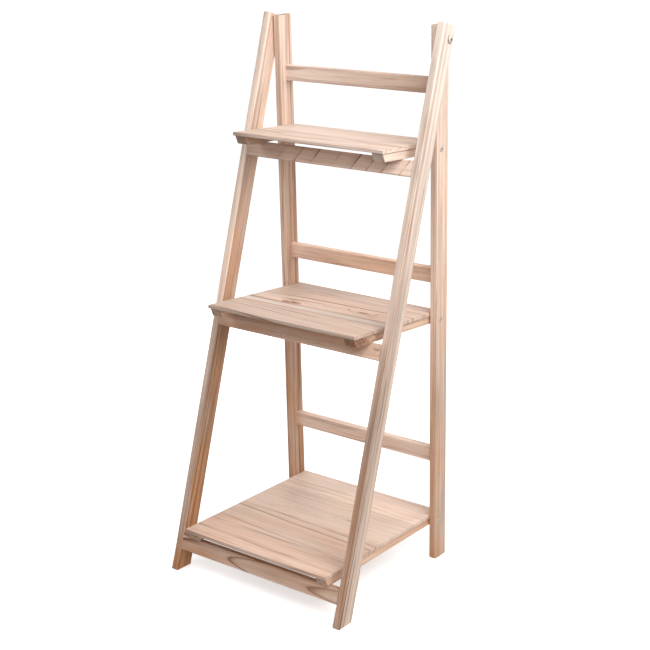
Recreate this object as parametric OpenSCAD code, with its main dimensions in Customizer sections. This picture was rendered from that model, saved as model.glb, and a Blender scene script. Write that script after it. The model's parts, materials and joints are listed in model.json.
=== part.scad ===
// Folding plant ladder stand: a leaning front frame, a back frame and three
// hinged shelves of edge-joined planks.
// Millimetres. +Z is up, the front faces -Y, and the origin lies on the floor
// at the centre of the open stand's footprint.

/* [Stand] */
// Overall height, at the top corners of the front legs
stand_h = 940; // [880:1:1050]
// Width across the front legs
stand_w = 358; // [300:1:450]
// Lean of the front frame from upright, in degrees
front_lean = 14.7; // [13:0.1:17]
// Lean of the back frame from upright, in degrees
rear_lean = 4; // [2.5:0.1:5]
// Gap between a front leg and the back leg beside it
leg_gap = 2; // [1.8:0.1:4]

/* [Legs] */
// Thickness of a leg, across the stand
leg_t = 13.5; // [12:0.5:18]
// Width of a leg, from front to back
leg_d = 33.5; // [30:0.5:40]
// Length of a leg above the hinge bolt
leg_top = 22.5; // [15:0.5:30]
// Rounding of the long edges of the timber
edge_r = 1.5; // [0.5:0.1:3]

/* [Front rails] */
// Height of a rail, along the leg
rail_h = 26; // [22:0.5:34]
// Thickness of a rail
rail_t = 13.5; // [10:0.5:18]
// Height of the top rail's upper front edge above the floor
top_rail_z = 729.5; // [722:0.5:734]
// Height of the middle rail's upper front edge above the floor
middle_rail_z = 445.6; // [438:0.1:450]
// Height of the bottom rail's upper front edge above the floor
bottom_rail_z = 62.1; // [55:0.1:66]

/* [Back slats] */
// Height of a slat, along the leg
slat_h = 26; // [22:0.5:34]
// Thickness of a slat
slat_t = 14; // [10:0.5:16]
// Setback of a slat's face from the front of the back legs
slat_setback = 13; // [12:0.5:16]
// Distance of the top slat's middle below the tops of the back legs
top_slat_drop = 97.7; // [85:0.1:110]
// Height of the middle slat's middle above the floor
middle_slat_z = 521.8; // [515:0.1:540]
// Height of the bottom slat's middle above the floor
bottom_slat_z = 195; // [180:0.5:230]

/* [Shelves] */
// Thickness of the planks
plank_t = 6; // [5:0.5:9]
// Gap between the end of a plank and the back leg beside it
plank_gap = 1; // [0.5:0.1:2]
// Widths of the top shelf's planks, front to back
top_planks = [86, 85]; // [50:1:110]
// Widths of the middle shelf's planks, front to back
middle_planks = [104, 105, 47]; // [40:1:110]
// Widths of the bottom shelf's planks, front to back
bottom_planks = [71, 85, 107, 82]; // [40:1:110]
// Height of the top shelf's surface over its pivots, above the floor
top_shelf_z = 748.4; // [744:0.1:752]
// Height of the middle shelf's surface over its pivots, above the floor
middle_shelf_z = 458.7; // [454:0.1:462]
// Height of the bottom shelf's surface over its pivots, above the floor
bottom_shelf_z = 81.6; // [78:0.1:85]
// Setback of the shelf pivots from the front of the back legs
pivot_setback = 12.4; // [11.5:0.1:15]

/* [Battens] */
// Width of a batten, across the stand
batten_w = 21.5; // [17:0.5:26]
// Height of a batten
batten_h = 14; // [13:0.5:16]
// Inset of a batten from the ends of the planks
batten_inset = 2; // [1:0.1:4]
// Inset of a batten's upper front corner from the shelf's front edge
batten_front_inset = 3.5; // [2:0.5:8]
// Undercut of a batten's front end
batten_undercut = 7; // [0:0.5:12]
// Inset of a batten's back end from the shelf's back edge
batten_back_inset = 2; // [0:0.5:5]
// Drop of the pivot below the underside of the planks
pivot_drop = 4.5; // [4.2:0.1:6]

/* [Hinge bolts] */
// Setback of the hinge axis from the face of the front legs
hinge_setback = 23.5; // [22:0.5:26]
// Gap between the folded rails and the faces of the back legs
fold_gap = 0.5; // [0.4:0.1:2]
// Diameter of a hinge bolt
hinge_bolt_d = 6; // [5:0.5:8]
// Diameter of a hinge bolt's head
hinge_head_d = 12.5; // [10:0.5:16]
// Height of a hinge bolt's domed head
hinge_head_h = 3.2; // [2.5:0.1:4]
// Width across flats of a hinge bolt's hexagon socket
hinge_key = 4; // [3:0.5:5]
// Diameter of the washer between the legs
hinge_washer_d = 14; // [12:0.5:16]
// Outer diameter of a hinge insert
hinge_insert_d = 9; // [8:0.5:11]
// Length of a hinge insert
hinge_insert_l = 11; // [8:0.5:12]

/* [Shelf pivots] */
// Diameter of a pivot bolt
pivot_bolt_d = 5; // [4:0.5:6]
// Diameter of a pivot bolt's head
pivot_head_d = 10; // [8:0.5:12]
// Height of a pivot bolt's head
pivot_head_h = 2.2; // [1.8:0.1:2.4]
// Width across flats of a pivot bolt's hexagon socket
pivot_key = 3; // [2.5:0.5:4]
// Depth of the recess round a pivot bolt's head
recess_depth = 1.2; // [1:0.1:2]
// Outer diameter of a pivot insert
pivot_insert_d = 7; // [6.5:0.1:8]
// Length of a pivot insert
pivot_insert_l = 11; // [8:0.5:12]
// Outer diameter of the spacer between batten and leg
pivot_spacer_d = 9; // [8:0.5:10]

/* [Dowels and screws] */
// Diameter of the dowels in the ends of rails and slats
dowel_d = 6; // [5:0.5:8]
// Distance between the two dowels in one end
dowel_pitch = 14; // [11:0.5:16]
// Depth of a dowel hole in a leg
dowel_leg_depth = 9; // [6:0.5:10]
// Depth of a dowel hole in a rail or slat
dowel_rail_depth = 20; // [12:0.5:30]
// Diameter of a batten screw
screw_d = 3.5; // [3:0.1:4.5]
// Diameter of a batten screw's countersunk head
screw_head_d = 7; // [6:0.1:8]
// Depth of a batten screw's bite into the plank
screw_bite = 4.2; // [3:0.1:4.5]

/* [Clearances] */
// Radial play of a bolt in the wood that turns on it
bore_play = 0.05; // [0.02:0.01:0.09]
// Gap between faces that slide past each other
slide_gap = 0.3; // [0.2:0.05:0.6]
// Gap between a resting batten and its rail
rest_gap = 0.3; // [0.1:0.05:0.5]

/* [Hidden] */
$fn = 48;

// Sides of the stand, and the three levels of rails, slats and shelves
LEFT = -1;
RIGHT = 1;
TOP = 0;
MIDDLE = 1;
BOTTOM = 2;

PINE = "burlywood";
PINE_LIGHT = "wheat";
BEECH = "tan";
STEEL = "silver";
BRASS = "goldenrod";

// Across the stand, each value is a distance from the middle plane
front_outer_x = stand_w / 2;
front_inner_x = front_outer_x - leg_t;
rear_outer_x = front_inner_x - leg_gap;
rear_inner_x = rear_outer_x - leg_t;
plank_end_x = rear_inner_x - plank_gap;
batten_outer_x = plank_end_x - batten_inset;
batten_inner_x = batten_outer_x - batten_w;

// Where the legs' faces lie before and behind the hinge axis. Folded flat, the
// rails lie just clear of the back legs, which sets the back legs' place.
front_face_y = -hinge_setback;
rear_face_y = front_face_y + rail_t + fold_gap;
rear_leg_back_y = rear_face_y + leg_d;

// The hinge axis, from the top corner of the front legs and the middle of the footprint
hinge_z = stand_h - hinge_setback * sin(front_lean) - leg_top * cos(front_lean);
toe_y = front_face_y / cos(front_lean) - hinge_z * tan(front_lean);
heel_y = rear_leg_back_y / cos(rear_lean) + hinge_z * tan(rear_lean);
hinge_y = -(toe_y + heel_y) / 2;

// Along the legs, each value is a distance above the hinge axis, negative below it
leg_reach = stand_h + leg_d;
function rail_top(z) = (z - hinge_z + front_face_y * sin(front_lean)) / cos(front_lean);
rail_tops = [for (z = [top_rail_z, middle_rail_z, bottom_rail_z]) rail_top(z)];
slat_y = rear_face_y + slat_setback;
function on_rear_leg(y, z) = (z - hinge_z - y * sin(rear_lean)) / cos(rear_lean);
slat_middles = [
    leg_top - top_slat_drop,
    on_rear_leg(slat_y, middle_slat_z),
    on_rear_leg(slat_y, bottom_slat_z)
];

// Each shelf turns about a pivot on the back legs and rests on its rail's
// rounded upper front edge, which sets its tilt
pivot_y = rear_face_y + pivot_setback;
surface_rise = pivot_drop + plank_t;
batten_fall = batten_h - pivot_drop;
pivot_zs = [for (z = [top_shelf_z, middle_shelf_z, bottom_shelf_z]) z - surface_rise];
pivot_ws = [for (z = pivot_zs) on_rear_leg(pivot_y, z)];
function pivot_place(i) = rear_point(pivot_y, pivot_ws[i]);
function front_point(y, w) = [
    hinge_y + y * cos(front_lean) + w * sin(front_lean),
    hinge_z - y * sin(front_lean) + w * cos(front_lean)
];
function rear_point(y, w) = [
    hinge_y + y * cos(rear_lean) - w * sin(rear_lean),
    hinge_z + y * sin(rear_lean) + w * cos(rear_lean)
];
function tilt_to(edge) = asin(edge[1] / norm(edge))
    + asin((batten_fall + rest_gap + edge_r) / norm(edge));
shelf_tilts = [
    for (i = [TOP, MIDDLE, BOTTOM])
        tilt_to(front_point(front_face_y + edge_r, rail_tops[i] - edge_r) - pivot_place(i))
];

// From a shelf's pivot, backwards to its back edge and forwards to its front edge
planks = [top_planks, middle_planks, bottom_planks];
function sum_to(list, n) = n == 0 ? 0 : list[n - 1] + sum_to(list, n - 1);
shelf_back_y = leg_d - pivot_setback;
function shelf_front_y(i) = shelf_back_y - sum_to(planks[i], len(planks[i]));

// Bolts and inserts, across the stand from the middle plane
washer_t = leg_gap - slide_gap;
hinge_head_x = front_outer_x + slide_gap;
hinge_tip_x = rear_outer_x - hinge_insert_l;
pivot_head_x = rear_outer_x - recess_depth + slide_gap;
pivot_tip_x = batten_outer_x - pivot_insert_l;
recess_d = pivot_head_d + 2 * slide_gap;
spacer_t = rear_inner_x - slide_gap - batten_outer_x;
dome_share = 2 / 3;
socket_share = 0.55;
screw_x = (batten_inner_x + pivot_tip_x) / 2;
screw_quarter = 1 / 4;

// Placing

module on_side(side) {
    if (side == RIGHT) children();
    else mirror([1, 0, 0]) children();
}

module on_both_sides() {
    on_side(LEFT) children();
    on_side(RIGHT) children();
}

module on_front_frame() {
    translate([0, hinge_y, hinge_z]) rotate([-front_lean, 0, 0]) children();
}

module on_rear_frame() {
    translate([0, hinge_y, hinge_z]) rotate([rear_lean, 0, 0]) children();
}

module on_shelf(i) {
    place = pivot_place(i);
    translate([0, place[0], place[1]]) rotate([-shelf_tilts[i], 0, 0]) children();
}

module above_floor() {
    intersection() {
        children();
        translate([-stand_w, -stand_h, 0]) cube([2 * stand_w, 2 * stand_h, 2 * stand_h]);
    }
}

// Shapes that repeat

// A rectangle with rounded corners, its lower left corner at the origin
module softened_rect(w, h) {
    translate([edge_r, 0]) square([w - 2 * edge_r, h]);
    translate([0, edge_r]) square([w, h - 2 * edge_r]);
    for (x = [edge_r, w - edge_r], y = [edge_r, h - edge_r])
        translate([x, y]) circle(edge_r);
}

// Extrudes an outline drawn in Y and Z across the stand, from x0 to x1
module across(x0, x1) {
    translate([x0, 0, 0]) rotate([90, 0, 90]) linear_extrude(x1 - x0) children();
}

// A round rod across the stand, from x0 to x1
module rod(d, x0, x1) {
    translate([x0, 0, 0]) rotate([0, 90, 0]) cylinder(h = x1 - x0, d = d);
}

// The two dowel places at the end of a rail or slat, about its middle
module dowel_pair(y, w) {
    for (side = [-1, 1]) translate([0, y, w + side * dowel_pitch / 2]) children();
}

module rail_dowel_places() {
    for (top = rail_tops)
        dowel_pair(front_face_y + rail_t / 2, top - rail_h / 2) children();
}

module slat_dowel_places() {
    for (middle = slat_middles) dowel_pair(slat_y + slat_t / 2, middle) children();
}

// A dowel hole or dowel across the joint between a leg's face and a rail's end
module dowel(face_x, end_gap) {
    rod(dowel_d, face_x - dowel_rail_depth + end_gap, face_x + dowel_leg_depth - end_gap);
}

// A leg's straight stock, from the hinge axis frame's face_y back
module leg_stock(inner_x, face_y) {
    translate([inner_x, face_y, -leg_reach])
        linear_extrude(leg_reach + leg_top) softened_rect(leg_t, leg_d);
}

// A bolt across the stand, with a domed head and a hexagon socket. The shank
// runs from tip_x to the underside of the head.
module bolt(d, head_d, head_h, key, tip_x, head_x) {
    dome = head_h * dome_share;
    dome_r = (head_d * head_d / 4 + dome * dome) / (2 * dome);
    translate([head_x, 0, 0]) rotate([0, 90, 0]) difference() {
        rotate_extrude() {
            translate([0, tip_x - head_x]) square([d / 2, head_x - tip_x]);
            intersection() {
                square([head_d / 2, head_h]);
                translate([0, head_h - dome_r]) circle(dome_r);
            }
        }
        translate([0, 0, head_h * (1 - socket_share)])
            cylinder(h = head_h, d = key / cos(30), $fn = 6);
    }
}

// The places of one shelf's batten screws, on the right side
module screw_places(i) {
    for (k = [0 : len(planks[i]) - 1], end = [-1, 1]) {
        middle_y = shelf_front_y(i) + sum_to(planks[i], k) + planks[i][k] / 2;
        translate([screw_x, middle_y + end * planks[i][k] * screw_quarter, -batten_fall])
            children();
    }
}

// A countersunk screw or its hole, pointing up from z = 0
module screw() {
    cylinder(h = (screw_head_d - screw_d) / 2, d1 = screw_head_d, d2 = screw_d);
    cylinder(h = batten_h + screw_bite, d = screw_d);
}

// Front frame

module front_leg(side) {
    color(PINE) on_side(side) difference() {
        above_floor() on_front_frame() leg_stock(front_inner_x, front_face_y);
        on_front_frame() {
            rod(hinge_bolt_d + 2 * bore_play, front_inner_x - 1, front_outer_x + 1);
            rail_dowel_places() dowel(front_inner_x, 0);
        }
    }
}

module front_rail(i) {
    color(PINE) on_front_frame() difference() {
        translate([0, front_face_y, rail_tops[i] - rail_h])
            across(-front_inner_x, front_inner_x) softened_rect(rail_t, rail_h);
        on_both_sides() rail_dowel_places() dowel(front_inner_x, 0);
    }
}

module rail_dowels() {
    color(BEECH) on_front_frame()
        on_both_sides() rail_dowel_places() dowel(front_inner_x, slide_gap);
}

// Back frame

module rear_leg(side) {
    color(PINE) on_side(side) difference() {
        above_floor() on_rear_frame() leg_stock(rear_inner_x, rear_face_y);
        on_rear_frame() {
            rod(hinge_insert_d, hinge_tip_x, rear_outer_x + 1);
            slat_dowel_places() dowel(rear_inner_x, 0);
            for (w = pivot_ws) translate([0, pivot_y, w]) {
                rod(pivot_bolt_d + 2 * bore_play, rear_inner_x - 1, rear_outer_x + 1);
                rod(recess_d, rear_outer_x - recess_depth, rear_outer_x + 1);
            }
        }
    }
}

module back_slat(i) {
    color(PINE) on_rear_frame() difference() {
        translate([0, slat_y, slat_middles[i] - slat_h / 2])
            across(-rear_inner_x, rear_inner_x) softened_rect(slat_t, slat_h);
        on_both_sides() slat_dowel_places() dowel(rear_inner_x, 0);
    }
}

module slat_dowels() {
    color(BEECH) on_rear_frame()
        on_both_sides() slat_dowel_places() dowel(rear_inner_x, slide_gap);
}

module hinge_bolts() {
    color(STEEL) on_both_sides() on_rear_frame()
        bolt(hinge_bolt_d, hinge_head_d, hinge_head_h, hinge_key, hinge_tip_x, hinge_head_x);
}

module hinge_washers() {
    color(STEEL) on_both_sides() on_rear_frame() difference() {
        rod(hinge_washer_d, rear_outer_x, rear_outer_x + washer_t);
        rod(hinge_bolt_d, rear_outer_x - 1, front_inner_x + 1);
    }
}

module hinge_inserts() {
    color(BRASS) on_both_sides() on_rear_frame() difference() {
        rod(hinge_insert_d, hinge_tip_x, rear_outer_x);
        rod(hinge_bolt_d, hinge_tip_x - 1, rear_outer_x + 1);
    }
}

// Shelves

// One plank, counted from the front. The first has a rounded front edge.
module plank(i, k) {
    front_y = shelf_front_y(i) + sum_to(planks[i], k);
    back_y = front_y + planks[i][k];
    color(k % 2 == 0 ? PINE : PINE_LIGHT) on_shelf(i) difference() {
        across(-plank_end_x, plank_end_x) {
            if (k == 0) {
                translate([front_y + edge_r, pivot_drop]) square([back_y - front_y - edge_r, plank_t]);
                translate([front_y, pivot_drop + edge_r]) square([edge_r, plank_t - 2 * edge_r]);
                for (z = [edge_r, plank_t - edge_r])
                    translate([front_y + edge_r, pivot_drop + z]) circle(edge_r);
            } else {
                translate([front_y, pivot_drop]) square([back_y - front_y, plank_t]);
            }
        }
        on_both_sides() screw_places(i) screw();
    }
}

module batten(i, side) {
    top_front_y = shelf_front_y(i) + batten_front_inset;
    back_y = shelf_back_y - batten_back_inset;
    color(PINE_LIGHT) on_shelf(i) on_side(side) difference() {
        across(batten_inner_x, batten_outer_x) polygon([
            [top_front_y, pivot_drop],
            [top_front_y + batten_undercut, -batten_fall],
            [back_y, -batten_fall],
            [back_y, pivot_drop]
        ]);
        rod(pivot_insert_d, pivot_tip_x, batten_outer_x + 1);
        screw_places(i) screw();
    }
}

module pivot_bolts(i) {
    color(STEEL) on_shelf(i) on_both_sides()
        bolt(pivot_bolt_d, pivot_head_d, pivot_head_h, pivot_key, pivot_tip_x, pivot_head_x);
}

module pivot_inserts(i) {
    color(BRASS) on_shelf(i) on_both_sides() difference() {
        rod(pivot_insert_d, pivot_tip_x, batten_outer_x);
        rod(pivot_bolt_d, pivot_tip_x - 1, batten_outer_x + 1);
    }
}

module pivot_spacers(i) {
    color(STEEL) on_shelf(i) on_both_sides() difference() {
        rod(pivot_spacer_d, batten_outer_x, batten_outer_x + spacer_t);
        rod(pivot_bolt_d, batten_outer_x - 1, rear_inner_x + 1);
    }
}

module batten_screws(i) {
    color(STEEL) on_shelf(i) on_both_sides() screw_places(i) screw();
}

front_leg(LEFT);  // front_leg_left
front_leg(RIGHT);  // front_leg_right
front_rail(TOP);  // front_rail_top
front_rail(MIDDLE);  // front_rail_middle
front_rail(BOTTOM);  // front_rail_bottom
rail_dowels();
rear_leg(LEFT);  // rear_leg_left
rear_leg(RIGHT);  // rear_leg_right
back_slat(TOP);  // back_slat_top
back_slat(MIDDLE);  // back_slat_middle
back_slat(BOTTOM);  // back_slat_bottom
slat_dowels();
hinge_bolts();
hinge_washers();
hinge_inserts();
plank(TOP, 0);  // top_plank_front
plank(TOP, 1);  // top_plank_back
batten(TOP, LEFT);  // top_batten_left
batten(TOP, RIGHT);  // top_batten_right
pivot_bolts(TOP);  // top_pivot_bolts
pivot_inserts(TOP);  // top_pivot_inserts
pivot_spacers(TOP);  // top_pivot_spacers
batten_screws(TOP);  // top_batten_screws
plank(MIDDLE, 0);  // middle_plank_front
plank(MIDDLE, 1);  // middle_plank_centre
plank(MIDDLE, 2);  // middle_plank_back
batten(MIDDLE, LEFT);  // middle_batten_left
batten(MIDDLE, RIGHT);  // middle_batten_right
pivot_bolts(MIDDLE);  // middle_pivot_bolts
pivot_inserts(MIDDLE);  // middle_pivot_inserts
pivot_spacers(MIDDLE);  // middle_pivot_spacers
batten_screws(MIDDLE);  // middle_batten_screws
plank(BOTTOM, 0);  // bottom_plank_front
plank(BOTTOM, 1);  // bottom_plank_second
plank(BOTTOM, 2);  // bottom_plank_third
plank(BOTTOM, 3);  // bottom_plank_back
batten(BOTTOM, LEFT);  // bottom_batten_left
batten(BOTTOM, RIGHT);  // bottom_batten_right
pivot_bolts(BOTTOM);  // bottom_pivot_bolts
pivot_inserts(BOTTOM);  // bottom_pivot_inserts
pivot_spacers(BOTTOM);  // bottom_pivot_spacers
batten_screws(BOTTOM);  // bottom_batten_screws
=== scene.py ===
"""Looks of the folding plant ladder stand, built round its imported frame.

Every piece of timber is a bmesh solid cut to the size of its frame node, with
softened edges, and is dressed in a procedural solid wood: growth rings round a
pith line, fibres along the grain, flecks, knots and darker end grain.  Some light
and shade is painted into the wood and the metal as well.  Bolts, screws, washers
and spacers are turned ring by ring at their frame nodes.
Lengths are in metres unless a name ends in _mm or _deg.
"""

import json
import logging
import math
from dataclasses import dataclass, replace
from enum import Enum

import bmesh
import bpy
from mathutils import Euler, Matrix, Vector


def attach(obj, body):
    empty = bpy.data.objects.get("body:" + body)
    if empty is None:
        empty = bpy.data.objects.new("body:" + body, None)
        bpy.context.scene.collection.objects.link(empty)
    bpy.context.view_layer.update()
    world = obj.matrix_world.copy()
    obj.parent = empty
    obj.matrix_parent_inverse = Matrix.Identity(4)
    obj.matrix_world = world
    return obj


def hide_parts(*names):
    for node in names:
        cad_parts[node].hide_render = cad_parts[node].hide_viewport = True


LOG = logging.getLogger("plant_stand")
MM = 0.001
SAME = 1e-6  # Places nearer than this are one

Colour = tuple[float, float, float]


def mm(value: float) -> float:
    """Returns a length in metres from one in millimetres."""
    return value * MM


def srgb(red: int, green: int, blue: int) -> Colour:
    """Turns a screen colour into the linear one that shaders take.

    Args:
        red: Red, 0 to 255.
        green: Green, 0 to 255.
        blue: Blue, 0 to 255.

    Returns:
        The linear red, green and blue, 0 to 1.
    """
    def linear(channel: int) -> float:
        """Returns one channel in linear light."""
        share = channel / 255
        return share / 12.92 if share <= 0.04045 else ((share + 0.055) / 1.055) ** 2.4

    return linear(red), linear(green), linear(blue)


class Side(Enum):
    """A side of the stand, as seen from the front."""

    LEFT = -1
    RIGHT = 1

    @property
    def word(self) -> str:
        """The side's name in the frame's node names."""
        return self.name.lower()


class Level(Enum):
    """One of the three levels that repeat up the stand."""

    TOP = "top"
    MIDDLE = "middle"
    BOTTOM = "bottom"


# ---------------------------------------------------------------------------
# Places
# ---------------------------------------------------------------------------


@dataclass(frozen=True)
class Placement:
    """A sub-assembly's own straight axes, set in the stand.

    Attributes:
        origin: Where the axes' zero lies in the stand.
        turn_deg: How far the axes are turned about X.
    """

    origin: Vector
    turn_deg: float

    @property
    def matrix(self) -> Matrix:
        """The move from these axes to the stand's."""
        turn = Matrix.Rotation(math.radians(self.turn_deg), 4, "X")
        return Matrix.Translation(self.origin) @ turn

    def box(self, node: str) -> tuple[Vector, Vector]:
        """Measures a frame node along these axes.

        Args:
            node: The frame node's name.

        Returns:
            The lowest and the highest corner.
        """
        back = self.matrix.inverted()
        return corners([back @ v.co for v in frame["nodes"][node].data.vertices])

    def solids(self, node: str) -> list[tuple[Vector, Vector]]:
        """Measures each separate solid of a frame node along these axes.

        Args:
            node: The frame node's name.

        Returns:
            The lowest and the highest corner of each.
        """
        bm = bmesh.new()
        bm.from_mesh(frame["nodes"][node].data)
        bmesh.ops.transform(bm, matrix=self.matrix.inverted(), verts=bm.verts)
        bmesh.ops.remove_doubles(bm, verts=bm.verts, dist=SAME)
        left, boxes = set(bm.verts), []
        while left:
            reached, points = [left.pop()], []
            while reached:
                vert = reached.pop()
                points.append(vert.co.copy())
                near = {edge.other_vert(vert) for edge in vert.link_edges} & left
                left -= near
                reached += near
            boxes.append(corners(points))
        bm.free()
        return sorted(boxes, key=lambda box: tuple(box[0]))

    def lie(self, node: str, along: int, across: int) -> "Lie":
        """Says how the wood of a frame node lies.

        Args:
            node: The frame node's name.
            along: The axis that its grain follows, 0 to 2.
            across: The axis across its wide face, 0 to 2.

        Returns:
            Its middle, its length and its grain's axes.
        """
        low, high = self.box(node)
        turn = self.matrix.to_3x3()
        grain, face = turn.col[along], turn.col[across]
        axes = Matrix((grain, face, grain.cross(face))).transposed()
        return Lie(self.matrix @ ((low + high) / 2), (high - low)[along], axes)


@dataclass(frozen=True)
class Lie:
    """How a piece of wood lies in the stand.

    Attributes:
        middle: Its middle.
        length: Its length along the grain.
        axes: Its own axes as columns: along the grain, across the wide face,
            and square to that face.
    """

    middle: Vector
    length: float
    axes: Matrix


def corners(points: list[Vector]) -> tuple[Vector, Vector]:
    """Returns the lowest and the highest corner round some points."""
    low = Vector(min(p[i] for p in points) for i in range(3))
    high = Vector(max(p[i] for p in points) for i in range(3))
    return low, high


def joint_place(name: str) -> Vector:
    """Returns the point that a joint of the frame turns about."""
    for joint in frame["record"]["behaviour"]["joints"]:
        if joint["name"] == name:
            return Vector(joint["pos_m"])
    raise KeyError(name)


def mount_axis(name: str) -> Vector:
    """Returns the outward direction of a mount of the frame."""
    for mount in frame["record"]["mounts"]:
        if mount["name"] == name:
            return Vector(mount["axis"])
    raise KeyError(name)


# ---------------------------------------------------------------------------
# Finishes
# ---------------------------------------------------------------------------


@dataclass(frozen=True)
class Knot:
    """A knot on a piece, measured from the piece's middle.

    Attributes:
        along_mm: Place along the piece.
        across_mm: Place across its wide face.
        size_mm: Reach of the bent grain round it.
        heart: How dark its middle is, 0 to 1.
    """

    along_mm: float
    across_mm: float
    size_mm: float
    heart: float = 0.6


@dataclass(frozen=True)
class Stain:
    """A stretch of a piece painted darker: painted shade, where less light reaches it.

    Attributes:
        along_mm: Place along the piece, from its middle.
        reach_mm: Reach to each side.
        share: How dark it is, 0 to 1.
    """

    along_mm: float
    reach_mm: float
    share: float


@dataclass(frozen=True)
class Cut:
    """How a piece was cut from its log.

    Attributes:
        seed: Picks the piece's own pattern.
        pith_across_mm: The pith's offset across the wide face.
        pith_depth_mm: The pith's offset square to the wide face.
        dive_deg: Angle between the rings and the wide face.
        slash_deg: Angle between the rings and the piece, in its wide face.
        runout_deg: Angle between the fibres and the piece, in its wide face.
        ring_mm: Width of a ring.
        ring_share: How strongly a ring's dark line shows.
        ring_fade: How strong that line is at the high end, of its strength at the low one.
        tone: Brightness at the piece's low and at its high end.
        warmth: Share of heartwood at those two ends, 0 to 1.
        bleach: Share of bleached wood at those two ends, 0 to 1.
        sapwood_mm: Band across the face, from and to, that is pale sapwood.
        sapwood_share: How pale that band is, 0 to 1.
        line_mm: Place across the face of a thin dark streak.
        line_share: How dark that streak is, 0 to 1.
        line_reach_mm: Reach of that streak to each side.
        knots: Up to two knots.
        stains: Up to two stretches of painted shade.
    """

    seed: float
    pith_across_mm: float = 20
    pith_depth_mm: float = 60
    dive_deg: float = 0.8
    slash_deg: float = 0.4
    runout_deg: float = 0.5
    ring_mm: float = 8
    ring_share: float = 0.5
    ring_fade: float = 1.0
    tone: tuple[float, float] = (1.0, 1.0)
    warmth: tuple[float, float] = (0.3, 0.3)
    bleach: tuple[float, float] = (0.1, 0.1)
    sapwood_mm: tuple[float, float] = (500, 600)
    sapwood_share: float = 0.2
    line_mm: float = 500
    line_share: float = 0.5
    line_reach_mm: float = 3.2
    knots: tuple[Knot, ...] = ()
    stains: tuple[Stain, ...] = ()


@dataclass(frozen=True)
class WoodFinish:
    """Pale sawn wood with a dry, open surface.

    Attributes:
        slot: The record's material slot; not used.
        early: Colour of the wide pale part of a ring.
        late: Colour of a ring's dark line.
        heart: Colour of the warmer heartwood.
        pale: Colour of bleached wood and sapwood.
        fibre_share: How strongly the fine fibres show.
        streak_share: How strongly the broader streaks show.
        dash_share: How strongly the thin dark dashes show.
        fleck_share: How strongly the short dark flecks show.
        blotch_share: How far the tone wanders over a hand's width.
        wave_mm: How far rings and fibres wander.
        end_tone: Tone of the end grain against the wide faces. End grain is darker of itself;
            on the battens the tone also holds painted shade on their ends.
        edge_tone: Tone of the narrow edges against the wide faces. Below 1 it is painted shade,
            as on the planks' edges; above 1 it is painted light, as on the slats' tops.
        arris_tone: Tone of the rounded edges between the faces. Above 1 it is a painted highlight.
    """

    slot: str
    early: Colour
    late: Colour
    heart: Colour
    pale: Colour
    fibre_share: float = 0.40
    streak_share: float = 0.45
    dash_share: float = 0.25
    fleck_share: float = 0.35
    blotch_share: float = 0.25
    wave_mm: float = 9
    end_tone: float = 0.80
    edge_tone: float = 1.0
    arris_tone: float = 0.86


@dataclass(frozen=True)
class MetalFinish:
    """A turned metal surface.

    Attributes:
        slot: The record's material slot.
        colour: The metal's own colour.
        roughness: Mean roughness.
        spread: How far the roughness wanders.
    """

    slot: str
    colour: Colour
    roughness: float
    spread: float = 0.12


PALE = srgb(236, 223, 213)
# Legs: their arris_tone above 1 paints a highlight on the rounded edges.
LEG_WOOD = WoodFinish(
    "leg_pine", srgb(222, 196, 178), srgb(144, 94, 70), srgb(200, 147, 104), PALE,
    fibre_share=0.65, streak_share=1.3, blotch_share=0.5, arris_tone=1.1,
)
RAIL_WOOD = WoodFinish(
    "rail_pine", srgb(221, 193, 175), srgb(134, 88, 66), srgb(199, 150, 116), PALE,
    fibre_share=0.5, streak_share=0.6,
)
# Slats: edge_tone above 1 paints their narrow faces lighter, painted light on their tops.
SLAT_WOOD = replace(RAIL_WOOD, edge_tone=1.3, arris_tone=1.0)
# Planks: edge_tone below 1 paints their narrow front and back edges in shade.
PLANK_WOOD = WoodFinish(
    "plank_pine", srgb(222, 197, 181), srgb(148, 103, 79), srgb(204, 161, 132), PALE,
    fibre_share=0.5, blotch_share=0.3, end_tone=1.05, edge_tone=0.75, arris_tone=0.8,
)
# Battens: end_tone well below 1 is partly their end grain and partly painted shade on their ends.
BATTEN_WOOD = WoodFinish(
    "batten_pine", srgb(226, 194, 170), srgb(152, 104, 76), srgb(202, 154, 120), PALE,
    streak_share=0.6, end_tone=0.5,
)
BEECH = WoodFinish(
    "dowel_beech", srgb(206, 168, 132), srgb(170, 126, 94), srgb(196, 152, 116), PALE
)
STEEL = MetalFinish("steel", srgb(174, 167, 159), 0.66)
BRASS = MetalFinish("brass", srgb(205, 170, 98), 0.35)
KNOT_HEART = srgb(122, 78, 54)


@dataclass(frozen=True)
class Signal:
    """A number that a node gives, on which sums can be written.

    Attributes:
        make: The maker of the tree that the number flows in.
        socket: The output that gives it.
    """

    make: "Shading"
    socket: bpy.types.NodeSocket

    def __add__(self, other: "Signal | float") -> "Signal":
        """Returns the sum."""
        return self.make.math("ADD", self, other)

    def __sub__(self, other: "Signal | float") -> "Signal":
        """Returns the difference."""
        return self.make.math("SUBTRACT", self, other)

    def __rsub__(self, other: float) -> "Signal":
        """Returns the difference from a plain number."""
        return self.make.math("SUBTRACT", other, self)

    def __mul__(self, other: "Signal | float") -> "Signal":
        """Returns the product."""
        return self.make.math("MULTIPLY", self, other)

    def __truediv__(self, other: "Signal | float") -> "Signal":
        """Returns the quotient."""
        return self.make.math("DIVIDE", self, other)

    def most(self, other: "Signal | float") -> "Signal":
        """Returns the greater of the two."""
        return self.make.math("MAXIMUM", self, other)


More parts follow.
